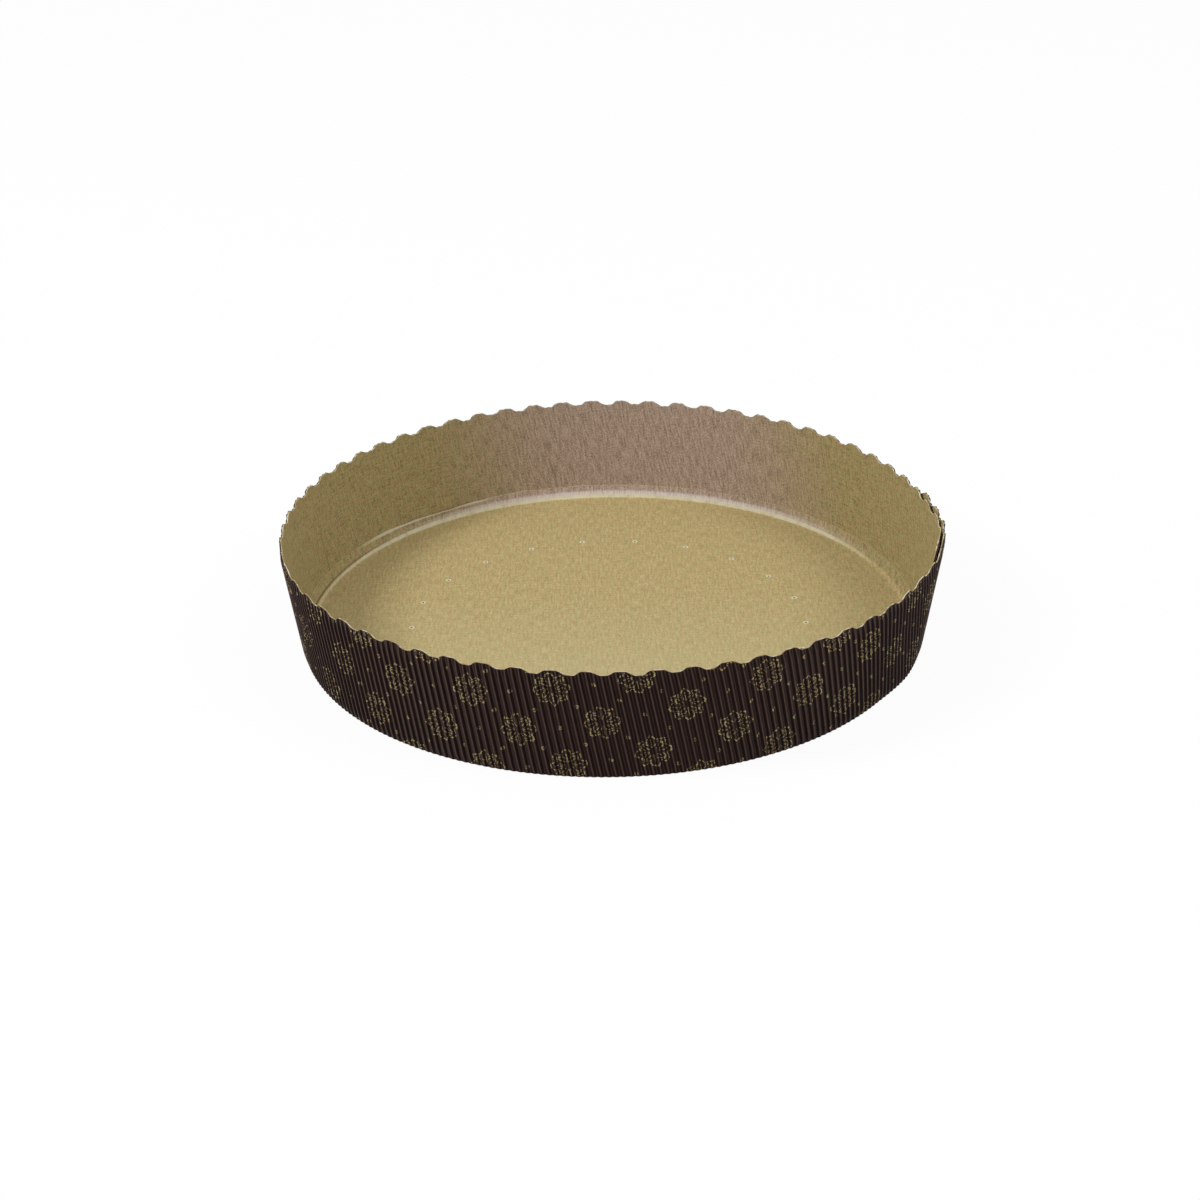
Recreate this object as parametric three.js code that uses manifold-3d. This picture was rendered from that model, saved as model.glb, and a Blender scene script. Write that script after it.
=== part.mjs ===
// Round paper baking mold of single-face fluted board: a smooth liner inside, fluted paper outside.
// A curved strip is rolled into a shallow cone and lapped on itself to make the side wall.
// A disc of the same board, its rim crimped and turned up, is glued inside the wall as the base.
// Millimetres, +Z up. The wall stands on Z = 0 and its seam is at +X.
import * as THREE from "three";
import { mergeVertices } from "three/addons/utils/BufferGeometryUtils.js";
import Module from "manifold-3d";

const wasm = await Module();
wasm.setup();

// Overall sizes
const rimDiameter = 202;
const baseDiameter = 193.5;
const wallHeight = 35;

// The board
const boardThickness = 1.1;
const linerThickness = 0.35;
const flutePitch = 2.12;
const fluteCrestWidth = 0.55;
const fluteFlankWidth = 0.55;

// The wave cut along the rim
const scallopPitch = 10.04;
const scallopDepth = 1.3;
const scallopTroughWidth = 1.8;
const scallopFlankWidth = 2.8;
const scallopTroughAt = 20.9;

// The lapped seam, as places round the rim in degrees from +X
const innerEndAt = -13;
const outerEndAt = 12;
const lapGap = 0.3;
const lapRamp = 14;
const lapFlare = 0.8;
const lapFlareAt = -3;
const lapFlareSpread = 10;
const uprightFlutesAt = 185;

// How far the soft rim is from a true circle
const rimOval = 1.1;
const rimOvalAt = -9;
const rimLobes = 0.55;
const rimLobesAt = -31;

// The turned-up rim of the base disc
const flangeHeight = 3.9;
const foldSize = 0.9;
const glueGap = 0.55;
const pleatCount = 96;
const pleatDepth = 0.3;
const flangeSeat = 1.5;

// The ring of pinholes pricked through the base, a little off the middle
const ventCount = 22;
const ventDiameter = 1;
const ventRingRadius = 62.1;
const ventRingAcross = -0.5;
const ventRingForward = 3.6;
const firstVentAt = 15.8;
const ventSides = 8;

const printedBrown = 0x3a2a2a;
const kraft = 0xa8915f;

const fullTurn = 360;
const weldDistance = 1e-4;
const stepsPerPleat = 2;
const rimRadius = rimDiameter / 2 - boardThickness;
const baseRadius = baseDiameter / 2 - boardThickness;
const slantHeight = Math.hypot(wallHeight, rimRadius - baseRadius);
const coneSin = (rimRadius - baseRadius) / slantHeight;
const coneCos = wallHeight / slantHeight;
const sheetLow = baseRadius / coneSin;
const sheetHigh = rimRadius / coneSin;

const { degToRad, radToDeg, smoothstep, euclideanModulo } = THREE.MathUtils;

// Points across the flutes from one end of a board to the other: [place, distance from the liner face].
// The fluted side has a flat crest, two flanks and a trough for each flute; the liner side is smooth.
function boardSection(start, flutes) {
  const fluted = [];
  const smooth = [];
  for (let flute = 0; flute <= flutes; flute++) {
    const crest = start + flute * flutePitch;
    smooth.push([crest, 0]);
    fluted.push([crest, boardThickness], [crest + fluteCrestWidth, boardThickness]);
    if (flute < flutes) {
      smooth.push([crest + flutePitch / 2, 0]);
      fluted.push([crest + fluteCrestWidth + fluteFlankWidth, linerThickness]);
      fluted.push([crest + flutePitch - fluteFlankWidth, linerThickness]);
    } else {
      smooth.push([crest + fluteCrestWidth, 0]);
    }
  }
  return { flutes, smooth, fluted };
}

// The section cut into one outline for each flute, as places in the list of its points.
function fluteOutlines({ flutes, smooth }) {
  const outlines = [];
  for (let flute = 0; flute < flutes; flute++) {
    const liner = 2 * flute;
    const crest = smooth.length + 4 * flute;
    outlines.push([liner, liner + 1, liner + 2, crest + 4, crest + 3, crest + 2, crest + 1, crest]);
  }
  const lastLiner = 2 * flutes;
  const lastCrest = smooth.length + 4 * flutes;
  outlines.push([lastLiner, lastLiner + 1, lastCrest + 1, lastCrest]);
  return outlines;
}

// A closed solid that carries a board's section along its flutes, from one placed end to the other.
function boardSolid(section, placeLow, placeHigh) {
  const points = [...section.smooth, ...section.fluted];
  const count = points.length;
  const corners = [...points.map(placeLow), ...points.map(placeHigh)];
  const faces = [];
  for (const outline of fluteOutlines(section)) {
    const flat = outline.map((i) => new THREE.Vector2(...points[i]));
    for (const [a, b, c] of THREE.ShapeUtils.triangulateShape(flat, [])) {
      const [p, q, r] = [outline[a], outline[b], outline[c]];
      faces.push(p, q, r, count + p, count + r, count + q);
    }
  }
  const smoothPlaces = section.smooth.map((_, i) => i);
  const flutedPlaces = section.fluted.map((_, i) => section.smooth.length + i);
  const around = [...smoothPlaces, ...flutedPlaces.reverse()];
  for (let i = 0; i < count; i++) {
    const here = around[i];
    const next = around[(i + 1) % count];
    faces.push(here, count + here, count + next, here, count + next, next);
  }
  const geometry = new THREE.BufferGeometry();
  geometry.setAttribute("position", new THREE.Float32BufferAttribute(corners.flat(), 3));
  geometry.setIndex(faces);
  return geometry;
}

// A closed geometry with its shared corners merged, as a solid that can be joined.
function toManifold(geometry) {
  const bare = geometry.clone();
  bare.deleteAttribute("normal");
  bare.deleteAttribute("uv");
  const merged = mergeVertices(bare, weldDistance);
  return new wasm.Manifold(new wasm.Mesh({
    numProp: 3,
    vertProperties: new Float32Array(merged.attributes.position.array),
    triVerts: new Uint32Array(merged.index.array),
  }));
}

function fromManifold(solid) {
  const mesh = solid.getMesh();
  const geometry = new THREE.BufferGeometry();
  geometry.setAttribute("position", new THREE.Float32BufferAttribute(mesh.vertProperties, 3));
  geometry.setIndex(Array.from(mesh.triVerts));
  return geometry;
}

// Place round the mold, in degrees, of a flute that is so far from the upright one, at a radius of the
// flat sheet. The sheet's radius shrinks towards the foot, so flutes far from the upright one lean.
function turnOnSheet(across, sheetRadius) {
  return uprightFlutesAt + radToDeg(across / sheetRadius) / coneSin;
}

function acrossSheet(turn) {
  return sheetHigh * degToRad(turn - uprightFlutesAt) * coneSin;
}

// Depth of the wavy cut below the crests, at a place round the rim.
function scallopCut(turn) {
  const along = degToRad(turn - scallopTroughAt) * rimRadius;
  const fromTrough = Math.abs(euclideanModulo(along + scallopPitch / 2, scallopPitch) - scallopPitch / 2);
  const flankStart = scallopTroughWidth / 2;
  return scallopDepth * (1 - smoothstep(fromTrough, flankStart, flankStart + scallopFlankWidth));
}

// How far the outer layer of the seam is pushed out to pass over the inner layer.
function lapPush(turn, sheetRadius) {
  const covered = turnOnSheet(acrossSheet(innerEndAt), sheetRadius) + fullTurn;
  return (boardThickness + lapGap) * smoothstep(turn, covered - lapRamp, covered);
}

// How far the rim stands out from a true circle.
function rimBow(turn) {
  const oval = rimOval * Math.cos(2 * degToRad(turn - rimOvalAt));
  const lobes = rimLobes * Math.cos(3 * degToRad(turn - rimLobesAt));
  const flareReach = Math.abs(turn - fullTurn - lapFlareAt) / lapFlareSpread;
  return oval + lobes + lapFlare * (1 - smoothstep(flareReach, 0, 1));
}

function onCone(turn, sheetRadius, outward) {
  const radius = sheetRadius * coneSin + outward;
  const angle = degToRad(turn);
  return [radius * Math.cos(angle), radius * Math.sin(angle), (sheetRadius - sheetLow) * coneCos];
}

function makeSideWall() {
  const start = acrossSheet(innerEndAt);
  const length = acrossSheet(outerEndAt + fullTurn) - start;
  const section = boardSection(start, Math.floor((length - fluteCrestWidth) / flutePitch));
  const low = ([across, depth]) => {
    const turn = turnOnSheet(across, sheetLow);
    return onCone(turn, sheetLow, depth + lapPush(turn, sheetLow));
  };
  const high = ([across, depth]) => {
    const turn = turnOnSheet(across, sheetHigh);
    return onCone(turn, sheetHigh - scallopCut(turn), depth + lapPush(turn, sheetHigh) + rimBow(turn));
  };
  return boardSolid(section, low, high);
}

// The flat of the base: liner side up, flutes running front to back on the underside.
function makeBaseFlat(radius) {
  const halfFlutes = Math.floor(radius / flutePitch);
  const section = boardSection(-halfFlutes * flutePitch - fluteCrestWidth / 2, 2 * halfFlutes);
  const chord = (across) => Math.sqrt(radius ** 2 - Math.min(Math.abs(across), radius) ** 2);
  const front = ([across, depth]) => [across, -chord(across), boardThickness - depth];
  const back = ([across, depth]) => [across, chord(across), boardThickness - depth];
  return boardSolid(section, back, front);
}

// The turned-up rim of the base, gathered in pleats where its length has to shrink.
function makeFlange(outerRadius) {
  const slope = (rimRadius - baseRadius) / wallHeight;
  const top = boardThickness + flangeHeight;
  const inner = outerRadius - boardThickness;
  const profile = [
    [inner - foldSize - flangeSeat, 0],
    [outerRadius - foldSize, 0],
    [outerRadius + slope * foldSize, foldSize],
    [outerRadius + slope * top, top],
    [inner + slope * top, top],
    [inner + slope * foldSize, boardThickness + foldSize],
    [inner - foldSize, boardThickness],
    [inner - foldSize - flangeSeat, boardThickness],
  ].map(([radius, height]) => new THREE.Vector2(radius, height));
  const geometry = new THREE.LatheGeometry([...profile, profile[0]], stepsPerPleat * pleatCount);
  geometry.rotateX(Math.PI / 2);
  const points = geometry.attributes.position;
  const point = new THREE.Vector3();
  for (let i = 0; i < points.count; i++) {
    point.fromBufferAttribute(points, i);
    const radius = Math.hypot(point.x, point.y);
    const turn = Math.atan2(point.y, point.x);
    const onInnerFace = point.z > boardThickness + foldSize / 2 && radius < inner + slope * top + glueGap / 2;
    const pleat = onInnerFace ? pleatDepth * (1 - Math.cos(pleatCount * turn)) / 2 : 0;
    points.setXY(i, (radius - pleat) * Math.cos(turn), (radius - pleat) * Math.sin(turn));
  }
  return geometry;
}

// The pins that prick the vents, standing through the flat of the base.
function makeVentPins() {
  const pin = new THREE.CylinderGeometry(ventDiameter / 2, ventDiameter / 2, 2 * boardThickness, ventSides);
  pin.rotateX(Math.PI / 2);
  const pins = [];
  for (let vent = 0; vent < ventCount; vent++) {
    const angle = degToRad(firstVentAt + (fullTurn * vent) / ventCount);
    const x = ventRingAcross + ventRingRadius * Math.cos(angle);
    const y = ventRingRadius * Math.sin(angle) - ventRingForward;
    pins.push(toManifold(pin.clone().translate(x, y, boardThickness / 2)));
  }
  return pins;
}

function makeBaseDisc() {
  const outerRadius = baseRadius - glueGap;
  const flange = toManifold(makeFlange(outerRadius));
  const flat = toManifold(makeBaseFlat(outerRadius - boardThickness - foldSize));
  return fromManifold(makeVentPins().reduce((disc, pin) => disc.subtract(pin), flange.add(flat)));
}

function addPiece(group, name, geometry, color) {
  const material = new THREE.MeshStandardMaterial({ color, roughness: 0.85, metalness: 0 });
  const mesh = new THREE.Mesh(geometry, material);
  mesh.name = name;
  group.add(mesh);
}

const mold = new THREE.Group();
addPiece(mold, "side_wall", makeSideWall(), printedBrown);
addPiece(mold, "base_disc", makeBaseDisc(), kraft);

// The origin is below the middle of the whole outline, which the seam shifts a little from the axis.
const outline = new THREE.Box3().setFromObject(mold);
const middle = outline.getCenter(new THREE.Vector3());
mold.position.set(-middle.x, -middle.y, 0);

export default mold;
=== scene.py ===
"""Looks of a round paper baking mold: fluted board, wave-cut rim, lapped seam and glued-in base disc."""

from __future__ import annotations

import logging
import math
from collections.abc import Callable, Sequence
from dataclasses import dataclass
from enum import Enum

import bmesh
import bpy
import numpy as np
from mathutils import Matrix, Vector

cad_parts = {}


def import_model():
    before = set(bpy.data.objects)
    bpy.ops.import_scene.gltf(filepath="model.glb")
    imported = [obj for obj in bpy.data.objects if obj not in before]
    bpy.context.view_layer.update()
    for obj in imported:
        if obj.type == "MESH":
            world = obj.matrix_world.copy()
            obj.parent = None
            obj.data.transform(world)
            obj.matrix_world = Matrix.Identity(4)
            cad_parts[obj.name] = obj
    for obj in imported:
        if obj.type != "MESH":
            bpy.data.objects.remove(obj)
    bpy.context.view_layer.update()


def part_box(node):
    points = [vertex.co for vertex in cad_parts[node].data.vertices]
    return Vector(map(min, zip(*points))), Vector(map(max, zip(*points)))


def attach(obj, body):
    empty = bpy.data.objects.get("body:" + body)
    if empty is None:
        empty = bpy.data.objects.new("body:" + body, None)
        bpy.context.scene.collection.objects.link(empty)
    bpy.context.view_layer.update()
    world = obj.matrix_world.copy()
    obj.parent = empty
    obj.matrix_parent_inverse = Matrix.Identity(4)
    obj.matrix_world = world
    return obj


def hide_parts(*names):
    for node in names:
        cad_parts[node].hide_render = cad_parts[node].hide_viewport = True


MM = 0.001
FULL_TURN = 360.0
SHARP_ANGLE = math.radians(50.0)
BODY = "root"
WALL_NODE = "side_wall"
BASE_NODE = "base_disc"
SHEET_PLACE = "sheet_place"
RELIEF_STRENGTH = 0.6

Array = np.ndarray
Socket = bpy.types.NodeSocket

log = logging.getLogger("baking_mold")


def srgb(red: int, green: int, blue: int) -> tuple[float, float, float, float]:
    """Gives a colour as Blender's linear values.

    Args:
        red: Red, from 0 to 255.
        green: Green, from 0 to 255.
        blue: Blue, from 0 to 255.

    Returns:
        The linear red, green, blue and alpha.
    """
    linear = []
    for value in (red, green, blue):
        share = value / 255
        linear.append(share / 12.92 if share <= 0.04045 else ((share + 0.055) / 1.055) ** 2.4)
    return (*linear, 1.0)


# Bands of the fluted paper: partly its print, partly painted light on crests and hollows and painted
# shade on flanks.
FLUTE_HOLLOW = srgb(60, 44, 39)
FLUTE_FLANK = srgb(22, 13, 12)
FLUTE_CREST = srgb(80, 59, 51)
DARK_FIBRE = srgb(34, 23, 21)
BROWN_CLOUD = srgb(54, 38, 34)
GOLD_LIGHT = srgb(194, 177, 128)
GOLD_DARK = srgb(142, 126, 82)
WALL_LIGHT = srgb(178, 163, 114)
WALL_DARK = srgb(90, 77, 40)
FLOOR_LIGHT = srgb(202, 184, 133)
FLOOR_DARK = srgb(128, 110, 62)
# Floor colour towards the front: painted paler, a painted gradient of light.
FLOOR_NEAR = srgb(196, 192, 150)
RUSTY_FIBRE = srgb(182, 134, 106)
MOSSY_FIBRE = srgb(156, 162, 98)
# Painted sheen: a greyer, pinker tint that stands in for light on the back of the wall and rim.
PAINTED_SHEEN_LIGHT = srgb(200, 175, 165)
PAINTED_SHEEN_DARK = srgb(108, 88, 80)
CREASE_SHADOW = srgb(92, 78, 50)
# Fold of the base: a painted highlight haze, a painted shadow line and a painted pale highlight.
FOLD_HIGHLIGHT_HAZE = srgb(214, 204, 202)
FOLD_SHADOW = srgb(84, 70, 44)
FOLD_PALE_HIGHLIGHT = srgb(208, 201, 172)
LOOSE_LIP = srgb(216, 206, 180)
LOOSE_EDGE = srgb(210, 200, 172)
GLUED_EDGE = srgb(184, 166, 116)
# Pale torn paper round a vent, partly a painted highlight of its burrs.
VENT_BURR_HIGHLIGHT = srgb(220, 213, 184)
RAW_LIGHT = srgb(120, 100, 78)
RAW_DARK = srgb(90, 72, 58)
CUT_KRAFT = srgb(160, 142, 100)
TORN_KRAFT = srgb(214, 204, 176)
CUT_BROWN = srgb(54, 40, 36)
TORN_BROWN = srgb(104, 84, 72)


def smoothstep(value: Array, low: float | Array, high: float | Array) -> Array:
    """Rises smoothly from 0 at low to 1 at high.

    Args:
        value: Places to work out.
        low: Where the rise starts.
        high: Where the rise ends.

    Returns:
        The height of the rise at each place.
    """
    share = np.clip((value - low) / (high - low), 0, 1)
    return share * share * (3 - 2 * share)


def bump(value: Array, middle: float, spread: float) -> Array:
    """Gives 1 at the middle, falling smoothly to 0 at the spread on both sides."""
    return 1 - smoothstep(np.abs(value - middle) / spread, 0, 1)


def waves(value: Array, parts: Sequence[tuple[float, float, float]]) -> Array:
    """Adds up sine waves, each given by its height, its count and its start."""
    return sum(height * np.sin(count * value + start) for height, count, start in parts)


def write_sheet_place(mesh: bpy.types.Mesh, notes: Array) -> None:
    """Writes the sheet place of every vertex into a mesh."""
    held = mesh.attributes.get(SHEET_PLACE)
    if held is not None:
        mesh.attributes.remove(held)
    places = mesh.attributes.new(SHEET_PLACE, "FLOAT_VECTOR", "POINT")
    places.data.foreach_set("vector", notes.astype(np.float32).ravel())


class Slot(Enum):
    """Names of material slots."""

    PRINTED_BOARD = "printed_board"
    KRAFT_LINER = "kraft_liner"


class Side(Enum):
    """Sides of a sheet of paper, which are also its material slots."""

    FRONT = 0
    BACK = 1
    EDGE = 2


@dataclass(frozen=True)
class BoardSizes:
    """Sizes of the single-face board, in millimetres."""

    thickness: float = 1.1
    liner: float = 0.3
    paper: float = 0.16
    flute_pitch: float = 2.12
    crest_width: float = 0.55
    crushed_share: float = 0.4
    crushed_reach: float = 3.0

    @property
    def swing(self) -> float:
        """Half the height of a flute's wave, at the middle of its paper."""
        return (self.thickness - self.liner - self.paper) / 2


@dataclass(frozen=True)
class MoldSizes:
    """Sizes of the mold, in millimetres and degrees round from +X."""

    height: float
    middle: tuple[float, float]
    rim_diameter: float = 202.0
    base_diameter: float = 193.5
    scallop_pitch: float = 10.04
    scallop_depth: float = 1.3
    scallop_trough_width: float = 1.8
    scallop_flank_width: float = 2.8
    scallop_trough_at: float = 20.9
    scallop_wander: float = 0.22
    scallop_uneven: float = 0.12
    inner_end_at: float = -13.0
    outer_end_at: float = 12.0
    lap_gap: float = 0.3
    lap_ramp: float = 14.0
    lap_flare: float = 0.8
    inner_end_flare: float = 1.15
    inner_end_pressed: float = 0.7
    lap_flare_at: float = -3.0
    lap_flare_spread: float = 10.0
    upright_flutes_at: float = 185.0
    rim_oval: float = 1.1
    rim_oval_at: float = -9.0
    rim_lobes: float = 0.55
    rim_lobes_at: float = -31.0
    flange_height: float = 3.9
    vent_count: int = 22
    vent_diameter: float = 1.0
    vent_ring_radius: float = 62.1
    vent_ring_across: float = -0.5
    vent_ring_forward: float = 3.6
    first_vent_at: float = 15.8
    board: BoardSizes = BoardSizes()

    @classmethod
    def from_frame(cls) -> MoldSizes:
        """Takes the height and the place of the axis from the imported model."""
        wall_low, wall_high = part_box(WALL_NODE)
        base_low, base_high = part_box(BASE_NODE)
        middle = (base_low + base_high) / 2 / MM
        return cls(height=(wall_high.z - wall_low.z) / MM, middle=(middle.x, middle.y))

    @property
    def rim_radius(self) -> float:
        """Radius of the liner face at the rim."""
        return self.rim_diameter / 2 - self.board.thickness

    @property
    def base_radius(self) -> float:
        """Radius of the liner face at the foot."""
        return self.base_diameter / 2 - self.board.thickness

    @property
    def flare(self) -> float:
        """Outward slope of the wall."""
        return (self.rim_radius - self.base_radius) / self.height


class RolledSheet:
    """The flat cut strip of board, rolled into the cone of the wall."""

    wander_waves = ((1.0, 2.4, 0.7), (1.0, 5.1, 0.0))
    depth_waves = ((1.0, 3.7, 1.9),)

    def __init__(self, sizes: MoldSizes) -> None:
        """Works out the cone of a mold of the given sizes."""
        self.sizes = sizes
        slant = math.hypot(sizes.height, sizes.rim_radius - sizes.base_radius)
        self.cone_sin = (sizes.rim_radius - sizes.base_radius) / slant
        self.cone_cos = sizes.height / slant
        self.low = sizes.base_radius / self.cone_sin
        self.high = sizes.rim_radius / self.cone_sin
        self.start = self.across_at(sizes.inner_end_at)
        self.length = self.across_at(sizes.outer_end_at + FULL_TURN) - self.start

    def across_at(self, turn: float) -> float:
        """Gives the place across the flutes of a place round the rim."""
        return self.high * math.radians(turn - self.sizes.upright_flutes_at) * self.cone_sin

    def turn_at(self, across: Array, radius: Array | float) -> Array:
        """Gives the place round the mold, in degrees, of a point of the flat sheet."""
        return self.sizes.upright_flutes_at + np.degrees(across / radius) / self.cone_sin

    def scallop_cut(self, turn: Array) -> Array:
        """Gives the depth of the wavy cut below the crests."""
        sizes = self.sizes
        along = np.radians(turn - sizes.scallop_trough_at) * sizes.rim_radius
        number = np.round(along / sizes.scallop_pitch)
        wander = sizes.scallop_wander * waves(number, self.wander_waves)
        deeper = 1 + sizes.scallop_uneven * waves(number, self.depth_waves)
        from_trough = np.abs(along - number * sizes.scallop_pitch - wander)
        start = sizes.scallop_trough_width / 2
        cut = 1 - smoothstep(from_trough, start, start + sizes.scallop_flank_width)
        return sizes.scallop_depth * deeper * cut

    def lap_push(self, turn: Array, radius: Array) -> Array:
        """Gives how far the outer layer of the seam is pushed out over the inner layer."""
        sizes = self.sizes
        covered = self.turn_at(self.start, radius) + FULL_TURN
        step = sizes.board.thickness + sizes.lap_gap
        return step * smoothstep(turn, covered - sizes.lap_ramp, covered)

    def out_of_round(self, turn: Array) -> Array:
        """Gives how far the soft rim stands out from a true circle, its seam apart."""
        sizes = self.sizes
        oval = sizes.rim_oval * np.cos(2 * np.radians(turn - sizes.rim_oval_at))
        return oval + sizes.rim_lobes * np.cos(3 * np.radians(turn - sizes.rim_lobes_at))

    def rim_bow(self, turn: Array) -> Array:
        """Gives how far the rim stands out from a true circle."""
        sizes = self.sizes
        outer = sizes.lap_flare * bump(turn, FULL_TURN + sizes.lap_flare_at, sizes.lap_flare_spread)
        inner = sizes.inner_end_flare * bump(turn, sizes.lap_flare_at, sizes.lap_flare_spread)
        return self.out_of_round(turn) + outer + inner

    def place(self, across: Array, rise: Array,
              depth: Array) -> tuple[Array, Array]:
        """Rolls points of the flat sheet up into the wall.

        Args:
            across: Places across the flutes, in millimetres.
            rise: Shares of the height, 0 at the foot and 1 at the rim.
            depth: Distances outward from the liner face, in millimetres.

        Returns:
            The points in metres, and their distances up from the foot in millimetres.
        """
        top = self.high - self.scallop_cut(self.turn_at(across, self.high))
        radius = self.low + (top - self.low) * rise
        turn = self.turn_at(across, radius)
        share = (radius - self.low) / (self.high - self.low)
        outward = depth + self.lap_push(turn, radius) + self.rim_bow(turn) * share
        angle = np.radians(turn)
        reach = radius * self.cone_sin + outward
        middle_x, middle_y = self.sizes.middle
        points = np.stack([
            middle_x + reach * np.cos(angle),
            middle_y + reach * np.sin(angle),
            (radius - self.low) * self.cone_cos,
        ], axis=-1)
        return points * MM, radius - self.low


class SheetMesh:
    """Builds closed thin sheets out of a front grid and a back grid of points."""

    def __init__(self, name: str) -> None:
        """Starts an empty mesh for an object of that name."""
        self.name = name
        self.points: list[Array] = []
        self.notes: list[Array] = []
        self.faces: list[Array] = []
        self.sides: list[Array] = []
        self.count = 0

    def add(self, front: Array, back: Array, front_note: Array, back_note: Array,
            closed: bool = False) -> None:
        """Adds one sheet.

        Args:
            front: Points of the outer face, as columns (to the right, seen from outside) by rows by 3.
            back: Points of the inner face, in the same order.
            front_note: Sheet place of each front point.
            back_note: Sheet place of each back point.
            closed: True where the last column joins the first.
        """
        columns, rows = front.shape[:2]
        number = np.arange(columns * rows).reshape(columns, rows) + self.count
        behind = number + columns * rows
        if closed:
            number = np.vstack([number, number[:1]])
            behind = np.vstack([behind, behind[:1]])
        self._quads(number, Side.FRONT)
        self._quads(behind[::-1], Side.BACK)
        self._strip(behind[:, 0], number[:, 0])
        self._strip(number[:, -1], behind[:, -1])
        if not closed:
            self._strip(number[0], behind[0])
            self._strip(behind[-1], number[-1])
        self.points += [front.reshape(-1, 3), back.reshape(-1, 3)]
        self.notes += [front_note.reshape(-1, 3), back_note.reshape(-1, 3)]
        self.count += 2 * columns * rows

    def _quads(self, grid: Array, side: Side) -> None:
        """Adds the faces of one grid of point numbers."""
        quads = np.stack([grid[:-1, :-1], grid[1:, :-1], grid[1:, 1:], grid[:-1, 1:]], -1).reshape(-1, 4)
        self.faces.append(quads)
        self.sides.append(np.full(len(quads), side.value))

    def _strip(self, first: Array, second: Array) -> None:
        """Adds a cut edge between two lines of point numbers."""
        quads = np.stack([first[:-1], first[1:], second[1:], second[:-1]], -1)
        self.faces.append(quads)
        self.sides.append(np.full(len(quads), Side.EDGE.value))

    def make(self, *finishes: Finish) -> bpy.types.Object:
        """Makes the object.

        Args:
            finishes: Finishes of the front, the back and the cut edges.

        Returns:
            The new object.
        """
        mesh = bpy.data.meshes.new(self.name)
        mesh.from_pydata(np.vstack(self.points).tolist(), [], np.vstack(self.faces).tolist())
        mesh.polygons.foreach_set("material_index", np.concatenate(self.sides).astype(np.int32))
        write_sheet_place(mesh, np.vstack(self.notes))
        for finish in finishes:
            mesh.materials.append(finish.material)
        mesh.polygons.foreach_set("use_smooth", np.ones(len(mesh.polygons), bool))
        mesh.set_sharp_from_angle(angle=SHARP_ANGLE)
        mesh.validate()
        mesh.update()
        made = bpy.data.objects.new(self.name, mesh)
        bpy.context.scene.collection.objects.link(made)
        return made


class Term:
    """A number in a material's node tree, written with plain operators."""

    def __init__(self, tree: bpy.types.NodeTree, socket: Socket | float) -> None:
        """Wraps a socket or a plain number."""
        self.tree = tree
        self.socket = socket

    def op(self, operation: str, *others: Term | float) -> Term:
        """Adds a Math node with this number as its first input."""
        node = self.tree.nodes.new("ShaderNodeMath")
        node.operation = operation
        for place, value in enumerate((self, *others)):
            source = value.socket if isinstance(value, Term) else value
            if isinstance(source, Socket):
                self.tree.links.new(source, node.inputs[place])
            else:
                node.inputs[place].default_value = source
        return Term(self.tree, node.outputs[0])

    def __add__(self, other: Term | float) -> Term:
        """Adds."""
        return self.op("ADD", other)

    def __sub__(self, other: Term | float) -> Term:
        """Subtracts."""
        return self.op("SUBTRACT", other)

    def __mul__(self, other: Term | float) -> Term:
        """Multiplies."""
        return self.op("MULTIPLY", other)

    def __truediv__(self, other: Term | float) -> Term:
        """Divides."""
        return self.op("DIVIDE", other)

    def left(self) -> Term:
        """Takes what is left up to 1."""
        return Term(self.tree, 1.0).op("SUBTRACT", self)

    def cos(self) -> Term:
        """Takes the cosine."""
        return self.op("COSINE")

    def sin(self) -> Term:
        """Takes the sine."""
        return self.op("SINE")

    def size(self) -> Term:
        """Takes the number without its sign."""
        return self.op("ABSOLUTE")

    def most(self, other: Term | float) -> Term:
        """Takes the greater of two."""
        return self.op("MAXIMUM", other)

    def step(self, low: float, high: float) -> Term:
        """Rises smoothly from 0 at low to 1 at high."""
        node = self.tree.nodes.new("ShaderNodeMapRange")
        node.interpolation_type = "SMOOTHSTEP"
        node.inputs["From Min"].default_value = low
        node.inputs["From Max"].default_value = high
        self.tree.links.new(self.socket, node.inputs["Value"])
        return Term(self.tree, node.outputs["Result"])

    def line(self, at: Term | float, half_width: float, soft: float) -> Term:
        """Gives 1 on a drawn line where this number equals at, and 0 off it."""
        return (self - at).size().step(half_width - soft, half_width + soft).left()

    def spot(self, radius: float, soft: float) -> Term:
        """Gives 1 where this distance is under the radius, and 0 outside."""
        return self.step(radius - soft, radius + soft).left()


@dataclass(frozen=True)
class Mottle:
    """Noise over the flat sheet: its fineness each way, the range of it that shows, and its layers."""

    across: float
    along: float
    low: float
    high: float
    layers: float = 3.0


PRINT_WEAR = Mottle(1.6, 1.6, 0.35, 0.52)
BROWN_CLOUDS = Mottle(0.05, 0.05, 0.4, 0.7, 2.0)
UPRIGHT_FIBRES = Mottle(1.5, 0.22, 0.32, 0.68)
LEVEL_FIBRES = Mottle(0.2, 1.6, 0.36, 0.68)
GRAIN = Mottle(1.9, 1.9, 0.36, 0.64, 2.0)
RUST_SPOTS = Mottle(0.75, 0.75, 0.42, 0.66, 2.0)
MOSS_SPOTS = Mottle(0.75, 0.75, 0.44, 0.66, 2.0)
# Streaks in the painted highlight haze, then the mottle of the painted fold highlight.
HAZE_STREAKS = Mottle(2.5, 0.3, 0.35, 0.65)
FOLD_HIGHLIGHT_MOTTLE = Mottle(0.35, 0.35, 0.3, 0.6)
TORN_FIBRES = Mottle(0.5, 0.5, 0.42, 0.6)


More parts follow.
